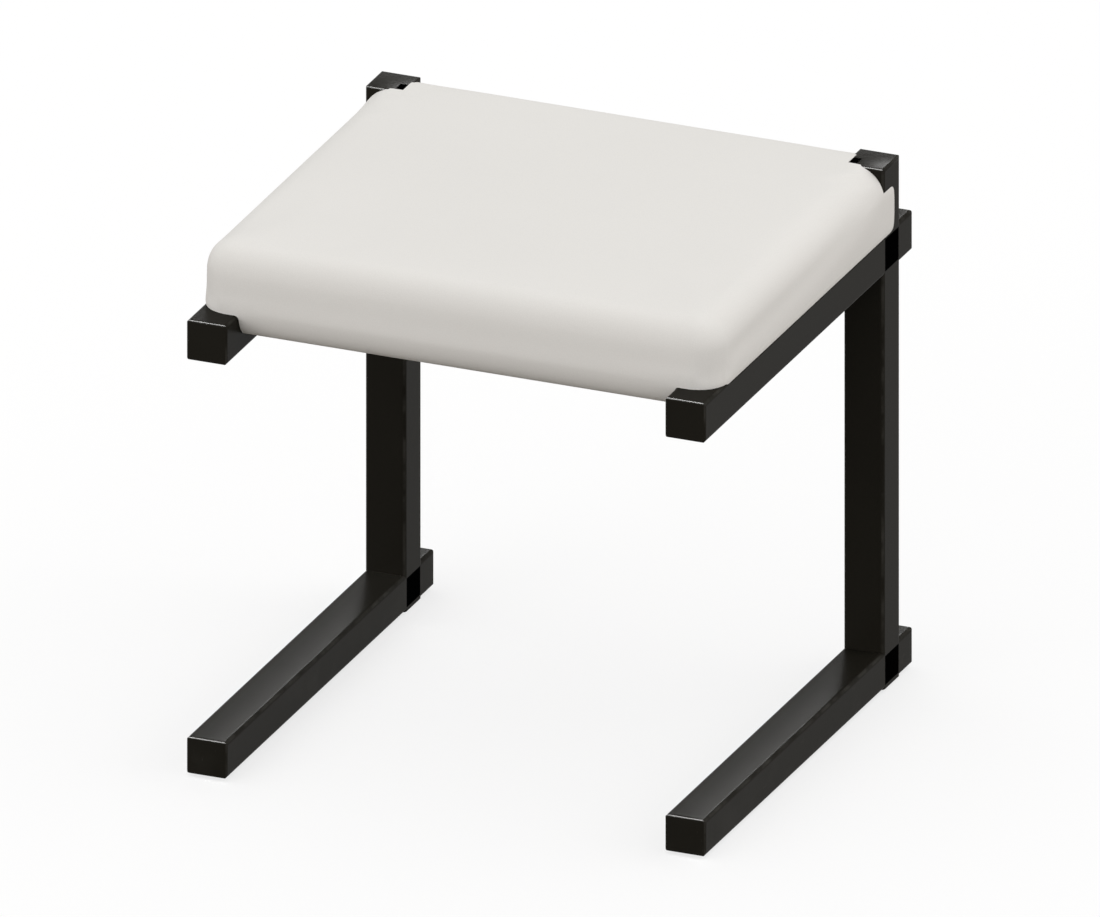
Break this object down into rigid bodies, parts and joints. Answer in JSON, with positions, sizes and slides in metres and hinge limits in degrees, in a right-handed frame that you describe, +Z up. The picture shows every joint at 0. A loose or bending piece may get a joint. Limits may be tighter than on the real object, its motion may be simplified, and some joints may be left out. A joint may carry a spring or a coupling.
{
  "type": "shoe fitting stool",
  "caption": "Low seat with a thick padded cushion hung between and over two C-shaped side frames of dark square tube, open at the front.",
  "frame": {"origin": "on the floor, under the middle of the stool's bounding box", "axes": "+Z up, -Y towards the open front of the stool, +X to the right of someone facing the back from the front"},
  "size_m": [0.453, 0.432, 0.455],
  "materials": {
    "frame_coat": "satin",
    "joint_casting": "satin",
    "cap_plastic": "satin",
    "black_nylon": "matte",
    "zinc_steel": "satin",
    "plywood": "matte",
    "foam": "matte",
    "seat_vinyl": "satin",
    "dust_cloth": "matte"
  },
  "bodies": {
    "root": {"left_seat_rail": "frame_coat", "left_rail_tail": "frame_coat", "left_runner": "frame_coat", "left_runner_tail": "frame_coat", "left_lower_post": "frame_coat", "left_upper_post": "frame_coat", "left_rail_joint": "joint_casting", "left_runner_joint": "joint_casting", "right_seat_rail": "frame_coat", "right_rail_tail": "frame_coat", "right_runner": "frame_coat", "right_runner_tail": "frame_coat", "right_lower_post": "frame_coat", "right_upper_post": "frame_coat", "right_rail_joint": "joint_casting", "right_runner_joint": "joint_casting", "rail_joint_covers": "black_nylon", "runner_joint_covers": "black_nylon", "frame_screws": "zinc_steel", "rail_caps": "cap_plastic", "runner_caps": "cap_plastic", "left_post_cap": "cap_plastic", "right_post_cap": "cap_plastic", "post_cap_pads": "black_nylon", "floor_glides": "black_nylon", "front_crossbar": "frame_coat", "rear_crossbar": "frame_coat", "seat_board": "plywood", "seat_foam": "foam", "seat_cover": "seat_vinyl", "dust_cover": "dust_cloth", "dust_cover_staples": "zinc_steel", "insert_nuts": "zinc_steel", "seat_screws": "zinc_steel", "seat_washers": "zinc_steel"}
  },
  "joints": []
}
